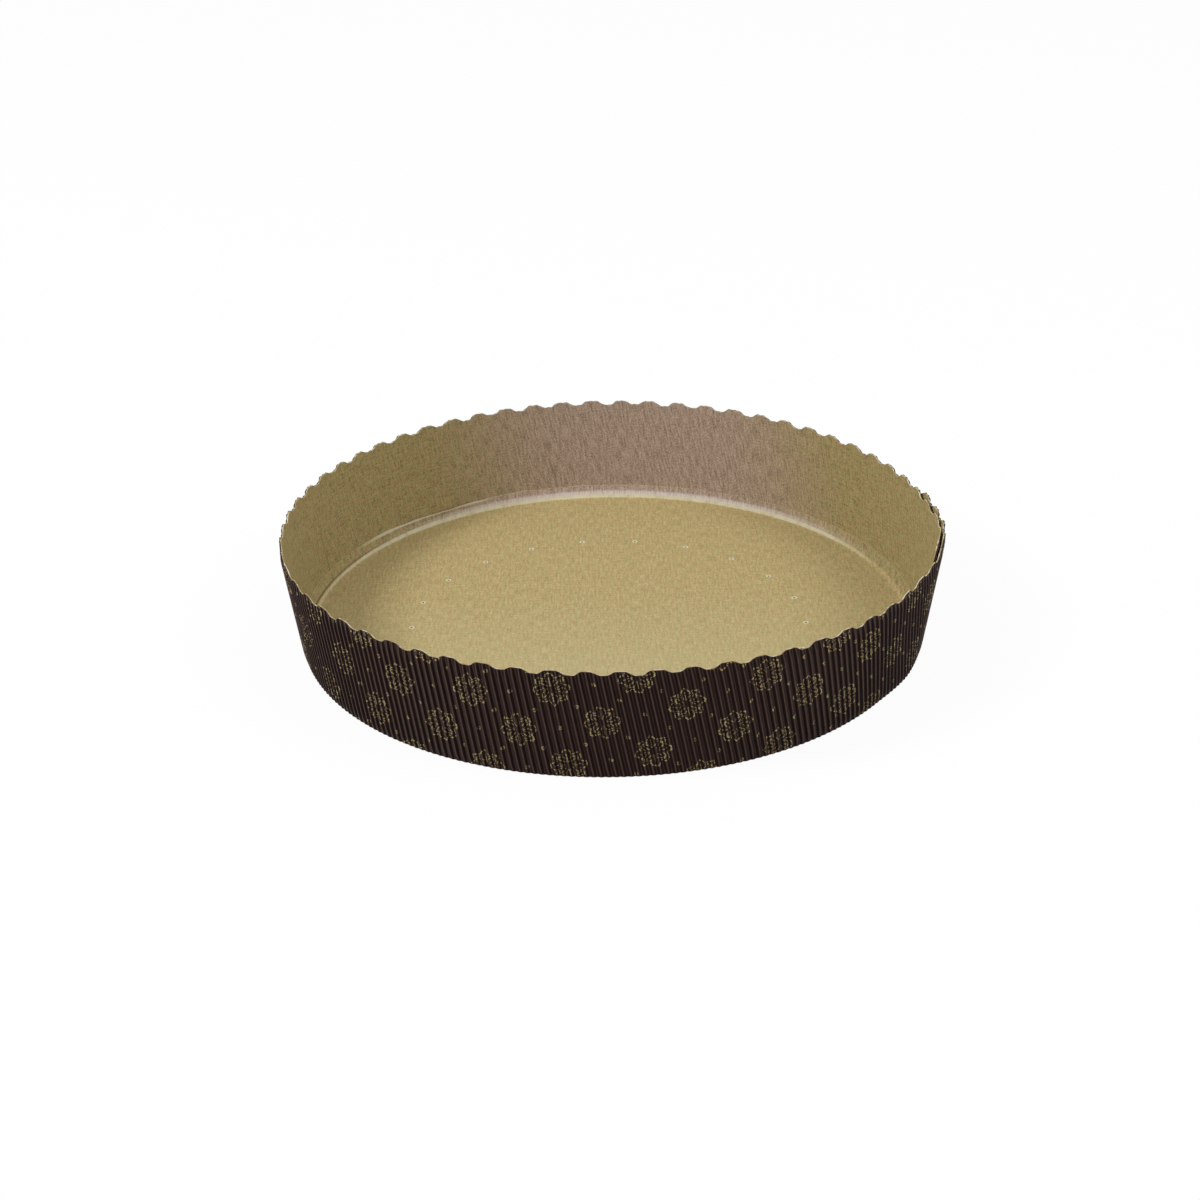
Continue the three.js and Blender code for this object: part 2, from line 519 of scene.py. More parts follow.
class Finish:
    """A paper finish: one material with its node tree."""

    def __init__(self, name: str, roughness: float, specular: float) -> None:
        """Starts a material with one shader.

        Args:
            name: Name of the material.
            roughness: Roughness of the surface.
            specular: Specular level of the surface.
        """
        self.material = bpy.data.materials.new(name)
        self.material.use_nodes = True
        self.tree = self.material.node_tree
        self.shader = self.tree.nodes["Principled BSDF"]
        self.shader.inputs["Roughness"].default_value = roughness
        self.shader.inputs["Specular IOR Level"].default_value = specular

    def sheet_place(self) -> tuple[Term, Term, Term]:
        """Reads the place on the flat sheet: across and along in millimetres, and a third number.

        The third is the share of a flute's height on fluted paper, and a point's height on the base.
        """
        node = self.tree.nodes.new("ShaderNodeAttribute")
        node.attribute_name = SHEET_PLACE
        parts = self.tree.nodes.new("ShaderNodeSeparateXYZ")
        self.tree.links.new(node.outputs["Vector"], parts.inputs[0])
        return tuple(Term(self.tree, output) for output in parts.outputs)

    def vector(self, *parts: Term | float) -> Socket:
        """Joins up to three numbers into a vector."""
        node = self.tree.nodes.new("ShaderNodeCombineXYZ")
        for place, value in enumerate(parts):
            if isinstance(value, Term):
                self.tree.links.new(value.socket, node.inputs[place])
            else:
                node.inputs[place].default_value = value
        return node.outputs[0]

    def noise(self, place: Socket, layers: float) -> Term:
        """Reads smooth noise from 0 to 1."""
        node = self.tree.nodes.new("ShaderNodeTexNoise")
        node.inputs["Scale"].default_value = 1.0
        node.inputs["Detail"].default_value = layers
        self.tree.links.new(place, node.inputs["Vector"])
        return Term(self.tree, node.outputs[0])

    def mottle(self, kind: Mottle, across: Term, along: Term, third: Term | float = 0.0) -> Term:
        """Reads noise from 0 to 1 over the flat sheet, cut to the range that shows."""
        place = self.vector(across * kind.across, along * kind.along, third * kind.across)
        return self.noise(place, kind.layers).step(kind.low, kind.high)

    def blend(self, share: Term | float, first: Socket | tuple, second: Socket | tuple) -> Socket:
        """Mixes two colours.

        Args:
            share: How much of the second colour shows.
            first: First colour.
            second: Second colour.

        Returns:
            The mixed colour.
        """
        node = self.tree.nodes.new("ShaderNodeMix")
        node.data_type = "RGBA"
        values = {"Factor_Float": share, "A_Color": first, "B_Color": second}
        for socket in node.inputs:
            value = values.get(socket.identifier)
            if isinstance(value, Term):
                self.tree.links.new(value.socket, socket)
            elif isinstance(value, Socket):
                self.tree.links.new(value, socket)
            elif value is not None:
                socket.default_value = value
        return next(out for out in node.outputs if out.identifier == "Result_Color")

    def relief(self, height: Term, distance: float) -> None:
        """Adds a bump of a height to the shader, its distance in metres."""
        node = self.tree.nodes.new("ShaderNodeBump")
        node.inputs["Strength"].default_value = RELIEF_STRENGTH
        node.inputs["Distance"].default_value = distance
        self.tree.links.new(height.socket, node.inputs["Height"])
        self.tree.links.new(node.outputs[0], self.shader.inputs["Normal"])

    def colour(self, colour: Socket) -> None:
        """Joins a colour to the shader."""
        self.tree.links.new(colour, self.shader.inputs["Base Color"])


@dataclass(frozen=True)
class Rosette:
    """The gold lace print: rosettes with small rings between them, in millimetres on the flat sheet."""

    column_step: float = 12.14
    row_step: float = 12.8
    first_across: float = 141.5
    first_along: float = 6.3
    petals: int = 8
    reach: float = 3.7
    wave: float = 1.5
    teeth: int = 44
    tooth: float = 0.13
    leaves: int = 4
    leaf_length: float = 3.9
    rib_start: float = 1.2
    rib_end: float = 4.0
    rib_taper: float = 0.2
    eye: float = 1.1
    ring: float = 0.42
    ring_ink: float = 0.75
    stroke: float = 0.2
    soft: float = 0.08

    def draw(self, across: Term, along: Term) -> Term:
        """Draws rosettes on a square lattice turned by 45 degrees, with small rings between them.

        Args:
            across: Place across the flutes.
            along: Place along the flutes.

        Returns:
            1 on the print and 0 beside it.
        """
        column = (across - self.first_across) / self.column_step
        row = (along - self.first_along) / self.row_step
        rising = (column + row) / 2.0
        falling = (column - row) / 2.0
        distance, angle = self._around(rising, falling)
        teeth = (angle * float(self.teeth)).cos() * self.tooth
        lobes = (angle * (self.petals / 2)).cos().size()
        edge = distance.line(lobes * self.wave + self.reach + teeth, self.stroke, self.soft)
        leaf = (angle * (self.leaves / 2)).sin().size() * self.leaf_length
        leaves = distance.line(leaf + teeth, self.stroke, self.soft)
        beside_rib = distance * (angle * (self.petals / 2)).sin().size() / (self.petals / 2)
        ribs = beside_rib.spot(self.stroke / 2, self.soft)
        ribs = ribs * distance.step(self.rib_start, self.rib_start + self.rib_taper)
        ribs = ribs * distance.spot(self.rib_end, self.soft)
        eye = distance.step(self.eye - self.stroke, self.eye + self.stroke)
        petals = edge.most(leaves).most(ribs) * eye
        ring_distance, _ = self._around(rising * 2.0, falling * 2.0, 0.5)
        rings = ring_distance.line(self.ring, self.stroke, self.soft) * self.ring_ink
        rings = rings * distance.step(self.reach, 2 * self.reach)
        return petals.most(rings)

    def _around(self, rising: Term, falling: Term, scale: float = 1.0) -> tuple[Term, Term]:
        """Gives the distance and the angle from the nearest point of the lattice.

        Args:
            rising: Place on the diagonal that rises, in lattice steps.
            falling: Place on the diagonal that falls, in lattice steps.
            scale: Size of a lattice step beside that of the rosettes.

        Returns:
            The distance in millimetres and the angle.
        """
        up = rising - rising.op("ROUND")
        down = falling - falling.op("ROUND")
        x = (up + down) * (self.column_step * scale)
        y = (up - down) * (self.row_step * scale)
        return (x * x + y * y).op("SQRT"), y.op("ARCTAN2", x)


class PrintedPaper(Finish):
    """Dark-brown fluted paper with a gold print. Its bands are shares of a flute's height."""

    hollow = (0.04, 0.22)
    crest = (0.84, 0.98)
    inked_crest = (0.66, 0.9)
    inked_hollow = (0.06, 0.26)
    least_ink = 0.05
    fibre_across = 3.0
    fibre_along = 0.5
    fibre_range = (0.35, 0.75)
    fibre_share = 0.35
    cloud_share = 0.1
    sheen = 0.11
    sheen_roughness = 0.4
    raised = 0.00004

    def __init__(self, name: str, fan_radius: float | None) -> None:
        """Makes the finish.

        Args:
            name: Name of the material.
            fan_radius: Radius of the foot on the flat sheet, or None where the sheet isn't rolled.
        """
        super().__init__(name, roughness=0.85, specular=0.05)
        self.shader.inputs["Sheen Weight"].default_value = self.sheen
        self.shader.inputs["Sheen Roughness"].default_value = self.sheen_roughness
        across, along, share = self.sheet_place()
        fibre = self.noise(self.vector(across * self.fibre_across, along * self.fibre_along), 3.0)
        # Hollow and crest painted lighter, flanks near black: partly the print, partly painted light and
        # shade of the flutes.
        brown = self.blend(share.step(*self.hollow), FLUTE_HOLLOW, FLUTE_FLANK)
        brown = self.blend(share.step(*self.crest), brown, FLUTE_CREST)
        brown = self.blend(fibre.step(*self.fibre_range) * self.fibre_share, brown, DARK_FIBRE)
        cloud = self.mottle(BROWN_CLOUDS, across, along)
        brown = self.blend(cloud * self.cloud_share, brown, BROWN_CLOUD)
        print_mask = Rosette().draw(*self._print_place(across, along, fan_radius))
        inked = share.step(*self.inked_crest).most(share.step(*self.inked_hollow).left())
        inked = inked * (1 - self.least_ink) + self.least_ink
        gold = self.blend(fibre, GOLD_LIGHT, GOLD_DARK)
        self.colour(self.blend(print_mask * self.mottle(PRINT_WEAR, across, along) * inked, brown, gold))
        self.relief(fibre, self.raised)

    def _print_place(self, across: Term, along: Term, fan_radius: float | None) -> tuple[Term, Term]:
        """Gives the place on the flat sheet in straight coordinates, as the paper was printed."""
        if fan_radius is None:
            return across, along
        radius = along + fan_radius
        angle = across / radius
        return radius * angle.sin(), radius * angle.cos() - fan_radius


class KraftPaper(Finish):
    """Smooth kraft paper: mottled fibres, with the flutes showing faintly through it."""

    plain_shares = (0.4, 0.32, 0.2)
    # Shares of the plain fibres, of the mottle in the painted sheen, and of the bump.
    painted_sheen_shares = (0.45, 0.4)
    raised_shares = (0.3, 0.4, 0.25, 0.4)
    rust_shift = 57.0
    moss_shift = 31.0
    rust_share = 0.44
    moss_share = 0.4
    # Strongest mix of the painted sheen.
    painted_sheen_share = 0.78
    back_fade = (0.25, 1.0)
    raised = 0.00005

    def __init__(self, name: str, light: tuple, dark: tuple, pitch: float) -> None:
        """Makes the finish.

        Args:
            name: Name of the material.
            light: Colour of the paper.
            dark: Colour of its darker fibres.
            pitch: Pitch of the flutes behind it.
        """
        super().__init__(name, roughness=0.75, specular=0.25)
        self.across, self.along, self.third = self.sheet_place()
        self.upright = self.mottle(UPRIGHT_FIBRES, self.across, self.along)
        self.level = self.mottle(LEVEL_FIBRES, self.across, self.along)
        self.grain = self.mottle(GRAIN, self.across, self.along, self.third)
        self.rust = self.mottle(RUST_SPOTS, self.across + self.rust_shift, self.along)
        self.moss = self.mottle(MOSS_SPOTS, self.across, self.along + self.moss_shift)
        self.flute = (self.across * (2 * math.pi / pitch)).cos() * 0.5 + 0.5
        self.plain = self.fibres(light, dark)
        self.relief(self._mix(self.raised_shares), self.raised)

    def _mix(self, shares: Sequence[float]) -> Term:
        """Adds up the grain, the upright and level fibres and the flutes behind, each by its share."""
        mixed = self.grain * shares[0]
        for kind, share in zip((self.upright, self.level, self.flute), shares[1:]):
            mixed = mixed + kind * share
        return mixed

    def fibres(self, light: tuple, dark: tuple) -> Socket:
        """Mottles a light paper colour with its dark, rusty and mossy fibres."""
        colour = self.blend(self._mix(self.plain_shares), light, dark)
        colour = self.blend(self.rust * self.rust_share, colour, RUSTY_FIBRE)
        return self.blend(self.moss * self.moss_share, colour, MOSSY_FIBRE)

    def paint_sheen(self, colour: Socket, painted_sheen: Term) -> Socket:
        """Paints a greyer sheen of light over a paper colour where the painted sheen mask gives it."""
        return self.blend(painted_sheen * self.painted_sheen_share, colour,
                          self.blend(self._mix(self.painted_sheen_shares), PAINTED_SHEEN_LIGHT, PAINTED_SHEEN_DARK))

    def back_share(self, middle: Term, reach: float) -> Term:
        """Gives 1 at the back of the mold, falling off to 0 at the reach on both sides of its middle."""
        return (middle / reach).size().step(*self.back_fade).left()


class WallPaper(KraftPaper):
    """Kraft paper of the wall's inner face: a painted greyish sheen of light at the back, with faint
    creases.
    """

    # Where the painted sheen on the wall is strongest, round from +X, and how far it reaches.
    painted_sheen_at = 84.0
    painted_sheen_reach = 84.0
    creases = (103.5, 162.0)
    crease_width = (0.35, 0.3)
    crease_share = 0.4
    crease_fade = (30.0, 8.0)
    bend = 5.0
    bend_fineness = 0.08

    def __init__(self, sizes: MoldSizes) -> None:
        """Makes the finish.

        Args:
            sizes: Sizes of the mold.
        """
        super().__init__("wall_kraft", WALL_LIGHT, WALL_DARK, sizes.board.flute_pitch)
        sheet = RolledSheet(sizes)
        # Painted sheen: a greyer tint of light at the back of the wall.
        painted_sheen = self.back_share(self.across - sheet.across_at(self.painted_sheen_at), self.painted_sheen_reach)
        colour = self.paint_sheen(self.plain, painted_sheen)
        wander = self.noise(self.vector(self.along * self.bend_fineness, 0.5), 2.0)
        bend = wander * self.bend - self.bend / 2
        for turn in self.creases:
            crease = (self.across - sheet.across_at(turn) - bend).line(0.0, *self.crease_width)
            shown = crease * self.along.step(*self.crease_fade) * self.crease_share
            colour = self.blend(shown, colour, CREASE_SHADOW)
        self.colour(colour)


class FloorPaper(KraftPaper):
    """Kraft paper of the base: the floor, its fold's painted pale highlight, and the turned-up rim like
    the wall.

    Pairs say where a mark starts and where it is whole, in millimetres: heights above the floor, or
    places from the middle of the mold. That of the shadow is its width and softness.
    """

    wall_colour = (0.5, 1.2)
    # Painted highlight haze low on the rim at the back: its heights, least strength and streaks.
    haze = (1.6, 2.7)
    haze_least = 0.5
    haze_streaks = 0.5
    # Painted pale highlight along the fold: its heights, mottle, spread and fade at the right.
    fold_start = (0.1, 0.3)
    fold_end = (0.22, 0.55)
    fold_taller_behind = 0.85
    fold_least = 0.45
    fold_highlight_mottle = 0.4
    fold_beside = 0.7
    fold_fade = (74.0, 90.0)
    shadow_at = 1.15
    shadow_width = (0.28, 0.15)
    shadow_share = 0.75
    lip = (3.0, 3.35)
    lip_across = (-38.0, -46.0)
    lip_along = (45.0, 60.0)
    lip_share = 0.65
    behind = (10.0, 80.0)
    left = (-30.0, -70.0)
    # Painted paler floor towards the front: where it starts and how strong it is.
    near = (30.0, -70.0)
    near_share = 0.3
    # Where the painted sheen on the rim is strongest, and how far it reaches.
    painted_sheen_at = 8.0
    painted_sheen_reach = 92.0
    burr = 0.85
    burr_soft = 0.2

    def __init__(self, sizes: MoldSizes) -> None:
        """Makes the finish.

        Args:
            sizes: Sizes of the mold.
        """
        super().__init__("floor_kraft", FLOOR_LIGHT, FLOOR_DARK, sizes.board.flute_pitch)
        self.sizes = sizes
        beside = self.across - sizes.middle[0]
        ahead = self.along - sizes.middle[1]
        behind = ahead.step(*self.behind)
        # Floor painted paler towards the front: a painted gradient of light.
        colour = self.blend(ahead.step(*self.near) * self.near_share, self.plain, FLOOR_NEAR)
        colour = self.blend(self._above(self.wall_colour), colour, self._rim(beside, behind))
        shadow = self.third.line(sizes.board.thickness + self.shadow_at, *self.shadow_width)
        shadow = shadow * beside.step(*self.left) * behind.left()
        colour = self.blend(shadow * self.shadow_share, colour, FOLD_SHADOW)
        # Fold: a painted pale highlight, strongest at the back, broken up by noise and fading at the
        # right.
        fold_end = self._above(self.fold_end, behind * self.fold_taller_behind)
        fold = self._above(self.fold_start) * fold_end.left()
        fold = fold * (behind * (1 - self.fold_beside) + self.fold_beside)
        highlight_mottle = self.mottle(FOLD_HIGHLIGHT_MOTTLE, self.across, self.along) * self.fold_highlight_mottle + self.fold_least
        colour = self.blend(fold * highlight_mottle * beside.step(*self.fold_fade).left(), colour, FOLD_PALE_HIGHLIGHT)
        lip = self._above(self.lip) * beside.step(*self.lip_across) * self.along.step(*self.lip_along)
        colour = self.blend(lip * self.lip_share, colour, LOOSE_LIP)
        # Vents: pale torn paper, partly a painted highlight of the burrs.
        self.colour(self.blend(self._burrs(), colour, VENT_BURR_HIGHLIGHT))

    def _above(self, limits: tuple[float, float], lift: Term | float = 0.0) -> Term:
        """Gives 0 below the first height above the floor and 1 above the second, both lifted alike."""
        floor = self.sizes.board.thickness
        return (self.third - lift).step(floor + limits[0], floor + limits[1])

    def _rim(self, beside: Term, behind: Term) -> Socket:
        """Gives the colour of the turned-up rim: the wall's paper with its painted sheen, and a painted
        pale highlight haze low at the back.
        """
        # Painted sheen of the rim, like the wall's, with a painted highlight haze below it.
        painted_sheen = self.back_share(beside - self.painted_sheen_at, self.painted_sheen_reach) * behind
        wall = self.paint_sheen(self.fibres(WALL_LIGHT, WALL_DARK), painted_sheen)
        streaks = self.mottle(HAZE_STREAKS, self.across, self.along)
        haze = self._above(self.haze).left() * painted_sheen
        return self.blend(haze * (streaks * self.haze_streaks + self.haze_least), wall, FOLD_HIGHLIGHT_HAZE)

    def _burrs(self) -> Term:
        """Gives 1 on the pale torn paper round each vent, painted pale also as a highlight of its burrs,
        and 0 beside it.
        """
        sizes = self.sizes
        x = self.across - (sizes.middle[0] + sizes.vent_ring_across)
        y = self.along - (sizes.middle[1] - sizes.vent_ring_forward)
        step = 2 * math.pi / sizes.vent_count
        turn = y.op("ARCTAN2", x) - math.radians(sizes.first_vent_at)
        beside = (turn - (turn / step).op("ROUND") * step) * sizes.vent_ring_radius
        out = (x * x + y * y).op("SQRT") - sizes.vent_ring_radius
        distance = (beside * beside + out * out).op("SQRT")
        return distance.spot(sizes.vent_diameter * self.burr, self.burr_soft)


class CutEdge(Finish):
    """Pale torn fibres of a cut edge."""

    def __init__(self, name: str, light: tuple, dark: tuple) -> None:
        """Makes the finish."""
        super().__init__(name, roughness=0.85, specular=0.2)
        across, along, _ = self.sheet_place()
        self.colour(self.blend(self.mottle(TORN_FIBRES, across, along), light, dark))


class FlangeEdge(Finish):
    """Cut edge of the turned-up rim, pale where it stands loose at the back left."""

    loose_across = (-24.0, -30.0)
    loose_along = (40.0, 60.0)

    def __init__(self, middle_x: float) -> None:
        """Makes the finish round the mold's middle on X, in millimetres."""
        super().__init__("wall_kraft_edge", roughness=0.85, specular=0.2)
        across, along, _ = self.sheet_place()
        loose = (across - middle_x).step(*self.loose_across) * along.step(*self.loose_along)
        self.colour(self.blend(loose, GLUED_EDGE, LOOSE_EDGE))


@dataclass
class SideWall:
    """The rolled strip of the wall: a smooth liner and a fluted printed paper glued to it."""

    sizes: MoldSizes
    samples: int = 10
    liner_samples: int = 4
    edge_rows: int = 4
    middle_rows: int = 3

    def build(self, finishes: dict[str, Finish]) -> list[bpy.types.Object]:
        """Makes the two papers of the wall.

        Args:
            finishes: Finishes by name.

        Returns:
            The liner and the fluted paper.
        """
        sheet = RolledSheet(self.sizes)
        return [self._liner(sheet, finishes), self._fluted(sheet, finishes)]

    def _columns(self, sheet: RolledSheet, samples: int) -> Array:
        """Gives the places of the columns across the flutes."""
        board = self.sizes.board
        flutes = math.floor((sheet.length - board.crest_width) / board.flute_pitch)
        end = sheet.start + flutes * board.flute_pitch + board.crest_width
        return np.linspace(sheet.start, end, flutes * samples + 1)

    def _rises(self, sheet: RolledSheet) -> Array:
        """Gives the places of the rows up the wall, closer together at its crushed edges."""
        reach = self.sizes.board.crushed_reach / (sheet.high - sheet.low)
        edge = np.linspace(0, reach, self.edge_rows)
        middle = np.linspace(reach, 1 - reach, self.middle_rows + 2)[1:-1]
        return np.concatenate([edge, middle, 1 - edge[::-1]])[None]

    def _note(self, across: Array, along: Array, third: Array | float) -> Array:
        """Joins sheet places into one array."""
        return np.stack([np.broadcast_to(part, along.shape) for part in (across, along, third)], -1)

    def _liner(self, sheet: RolledSheet, finishes: dict[str, Finish]) -> bpy.types.Object:
        """Makes the smooth inner paper."""
        board = self.sizes.board
        across = self._columns(sheet, self.liner_samples)[:, None]
        rise = self._rises(sheet)
        outer, outer_along = sheet.place(across, rise, np.full_like(across, board.liner))
        inner, inner_along = sheet.place(across, rise, np.zeros_like(across))
        mesh = SheetMesh("wall_liner")
        notes = [self._note(across, along, 0.0) for along in (outer_along, inner_along)]
        mesh.add(outer, inner, *notes)
        return mesh.make(finishes["raw"], finishes["wall_kraft"], finishes["kraft_edge"])

    def _fluted(self, sheet: RolledSheet, finishes: dict[str, Finish]) -> bpy.types.Object:
        """Makes the wavy printed paper."""
        board = self.sizes.board
        across = self._columns(sheet, self.samples)[:, None]
        rise = self._rises(sheet)
        from_edge = np.minimum(rise, 1 - rise) * (sheet.high - sheet.low) / board.crushed_reach
        raised = (1 - board.crushed_share) * smoothstep(from_edge, 0, 1)
        turn = sheet.turn_at(across, sheet.high)
        inner_end = bump(turn, self.sizes.lap_flare_at, self.sizes.lap_flare_spread)
        pressed = 1 - self.sizes.inner_end_pressed * inner_end * rise
        swing = board.swing * (board.crushed_share + raised) * pressed
        phase = 2 * np.pi * (across - across[0] - board.crest_width / 2) / board.flute_pitch
        share = 0.5 + 0.5 * np.cos(phase)
        wave = board.liner + board.paper / 2 + 2 * swing * share
        slope = -swing * 2 * np.pi / board.flute_pitch * np.sin(phase)
        lean = np.hypot(1, slope)
        sides = []
        for side in (board.paper / 2, -board.paper / 2):
            points, along = sheet.place(across - side * slope / lean, rise, wave + side / lean)
            sides.append((points, self._note(across, along, share)))
        mesh = SheetMesh("wall_fluted_paper")
        mesh.add(sides[0][0], sides[1][0], sides[0][1], sides[1][1])
        return mesh.make(finishes["printed"], finishes["raw"], finishes["brown_edge"])


@dataclass
class BaseDisc:
    """The disc of the base, its rim turned up in pleats inside the wall."""

    sizes: MoldSizes
    segments: int = 720
    samples: int = 12
    pleats: int = 190
    loose_at: float = 126.0
    loose_spread: float = 15.0
    flutes_end: float = 3.8
    vent_sides: int = 12
    pin_length: float = 10.0
    rim_gap: float = 0.03
    inner_rings: tuple[float, ...] = (0.02, 25.0, 50.0, 75.0)
    pleat_drift: tuple = ((1.5, 9, 0), (1.0, 23, 0))
    crumple_waves: tuple = ((0.5, 31, 0), (0.3, 57, 1), (0.2, 97, 2))
    crumple_height: float = 0.15
    loose_dip: float = 0.4

    def build(self, finishes: dict[str, Finish]) -> list[bpy.types.Object]:
        """Makes the two papers of the base.

        Args:
            finishes: Finishes by name.

        Returns:
            The liner with its turned-up rim, and the fluted paper below it.
        """
        liner = self._liner(finishes)
        fluted = self._fluted(finishes)
        self._prick(liner, lambda flat: flat)
        self._prick(fluted, self._crest_note)
        return [liner, fluted]

    def _crest_note(self, flat: Array) -> Array:
        """Gives the sheet places of points of the fluted paper."""
        phase = 2 * np.pi * (flat[:, 0] - self.sizes.middle[0]) / self.sizes.board.flute_pitch
        return np.stack([flat[:, 0], flat[:, 1], 0.5 + 0.5 * np.cos(phase)], -1)

    def _vents(self) -> list[tuple[float, float]]:
        """Gives the places of the vents, in millimetres."""
        sizes = self.sizes
        middle_x, middle_y = sizes.middle
        angles = [math.radians(sizes.first_vent_at + FULL_TURN * vent / sizes.vent_count)
                  for vent in range(sizes.vent_count)]
        return [(middle_x + sizes.vent_ring_across + sizes.vent_ring_radius * math.cos(angle),
                 middle_y - sizes.vent_ring_forward + sizes.vent_ring_radius * math.sin(angle))
                for angle in angles]

    def _prick(self, piece: bpy.types.Object, note: Callable[[Array], Array]) -> None:
        """Pricks the vents through a paper of the base.

        Args:
            piece: The paper.
            note: Gives the sheet places of points in millimetres.
        """
        pins = bmesh.new()
        radius = self.sizes.vent_diameter / 2 * MM
        for x, y in self._vents():
            place = Matrix.Translation(Vector((x, y, 0)) * MM)
            bmesh.ops.create_cone(pins, cap_ends=True, segments=self.vent_sides, matrix=place,
                                  radius1=radius, radius2=radius, depth=self.pin_length * MM)
        mesh = bpy.data.meshes.new("vent_pins")
        pins.to_mesh(mesh)
        pins.free()
        pin_piece = bpy.data.objects.new("vent_pins", mesh)
        bpy.context.scene.collection.objects.link(pin_piece)
        cut = piece.modifiers.new("vents", "BOOLEAN")
        cut.operation = "DIFFERENCE"
        cut.solver = "EXACT"
        cut.object = pin_piece
        bpy.context.view_layer.update()
        whole = piece.evaluated_get(bpy.context.evaluated_depsgraph_get())
        pricked = bpy.data.meshes.new_from_object(whole)
        piece.modifiers.remove(cut)
        places = np.empty(len(pricked.vertices) * 3, np.float32)
        pricked.vertices.foreach_get("co", places)
        pricked.set_sharp_from_angle(angle=SHARP_ANGLE)
        write_sheet_place(pricked, note(places.reshape(-1, 3) / MM))
        piece.data = pricked
        bpy.data.objects.remove(pin_piece)

    def _polar(self, radius: Array, height: Array, turn: Array) -> Array:
        """Gives points from radius, height and angle, in metres."""
        middle_x, middle_y = self.sizes.middle
        return np.stack([
            middle_x + radius * np.cos(turn),
            middle_y + radius * np.sin(turn),
            height * np.ones_like(turn),
        ], -1) * MM

    def _liner(self, finishes: dict[str, Finish]) -> bpy.types.Object:
        """Makes the floor and the turned-up rim in one closed piece."""
        sizes = self.sizes
        board = sizes.board
        floor = board.thickness
        under = floor - board.liner
        turn = np.linspace(0, 2 * np.pi, self.segments, endpoint=False)[:, None]
        degrees = np.degrees(turn)
        pleat = 0.5 + 0.5 * np.cos(self.pleats * turn + waves(turn, self.pleat_drift))
        crumple = waves(turn, self.crumple_waves)
        loose = bump(degrees, self.loose_at, self.loose_spread)
        top = floor + sizes.flange_height + self.crumple_height * crumple - self.loose_dip * loose
        foot = sizes.base_radius
        lean = sizes.flare + RolledSheet(sizes).out_of_round(degrees) / sizes.height
        face = foot + lean * top - self.rim_gap
        # Rings of the section as radius and height, from the middle out to the cut edge of the rim.
        upper = [
            *((radius, floor) for radius in self.inner_rings),
            (foot - 5.0, floor),
            (foot - 3.0, floor),
            (foot - 2.4, floor + 0.03),
            (foot - 1.9, floor + 0.16 + 0.03 * crumple),
            (foot - 1.45, floor + 0.42 + 0.06 * crumple),
            (foot - 1.1 - 0.05 * pleat, floor + 0.8 + 0.06 * crumple),
            (foot - 0.85 - 0.1 * pleat, floor + 1.25),
            (foot - 0.6 - 0.1 * pleat + lean * 2.5 - 0.3, floor + 1.8),
            (foot + lean * 4.0 - 0.55 - 0.08 * pleat - 0.25 * loose, 0.72 * top + 0.28 * floor),
            (face - 0.2 - 0.03 * pleat - 0.75 * loose, top),
        ]
        lower = [
            *((radius, under) for radius in self.inner_rings),
            (foot - 5.0, under),
            (foot - 3.5, under),
            (foot - 2.9, under - 0.2),
            (foot - 2.5, 0.25 + 0.05 * pleat),
            (foot - 2.1, 0.04 + 0.05 * pleat),
            (foot - 1.3, 0.04 + 0.05 * pleat),
            (foot - 0.7 - 0.1 * pleat, 0.4),
            (foot - 0.35 - 0.1 * pleat, 1.4),
            (foot + lean * 3.4 - 0.2 - 0.08 * pleat - 0.1 * loose, 0.72 * top),
            (face - 0.6 * loose, top),
        ]
        grids = []
        for rings in (upper, lower):
            points = [self._polar(radius * np.ones_like(turn), height, turn) for radius, height in rings]
            grids.append(np.concatenate(points, axis=1)[::-1])
        mesh = SheetMesh("base_liner")
        mesh.add(*grids, *(grid / MM for grid in grids), closed=True)
        return mesh.make(finishes["floor_kraft"], finishes["base_printed"], finishes["wall_kraft_edge"])

    def _fluted(self, finishes: dict[str, Finish]) -> bpy.types.Object:
        """Makes the wavy paper on the underside of the flat."""
        sizes = self.sizes
        board = sizes.board
        radius = sizes.base_radius - self.flutes_end
        flutes = math.floor(radius / board.flute_pitch)
        reach = flutes * board.flute_pitch
        across = np.linspace(-reach, reach, 2 * flutes * self.samples + 1)
        phase = 2 * np.pi * across / board.flute_pitch
        crest = 0.5 + 0.5 * np.cos(phase)
        wave = board.paper / 2 + 2 * board.swing * (1 - crest)
        slope = board.swing * 2 * np.pi / board.flute_pitch * np.sin(phase)
        lean = np.hypot(1, slope)
        share = np.linspace(-1, 1, 3)[None]
        middle_x, middle_y = sizes.middle
        sides = []
        for side in (-board.paper / 2, board.paper / 2):
            shifted = across - side * slope / lean
            half = np.sqrt(np.maximum(radius ** 2 - across ** 2, 0))[:, None]
            points = np.stack([
                np.broadcast_to((middle_x + shifted)[:, None], (len(across), share.shape[1])),
                middle_y + half * share,
                np.broadcast_to((wave + side / lean)[:, None], (len(across), share.shape[1])),
            ], -1)
            note = points.copy()
            note[..., 2] = crest[:, None]
            sides.append((points * MM, note))
        mesh = SheetMesh("base_fluted_paper")
        mesh.add(sides[0][0][::-1], sides[1][0][::-1], sides[0][1][::-1], sides[1][1][::-1])
        return mesh.make(finishes["base_printed"], finishes["raw"], finishes["brown_edge"])


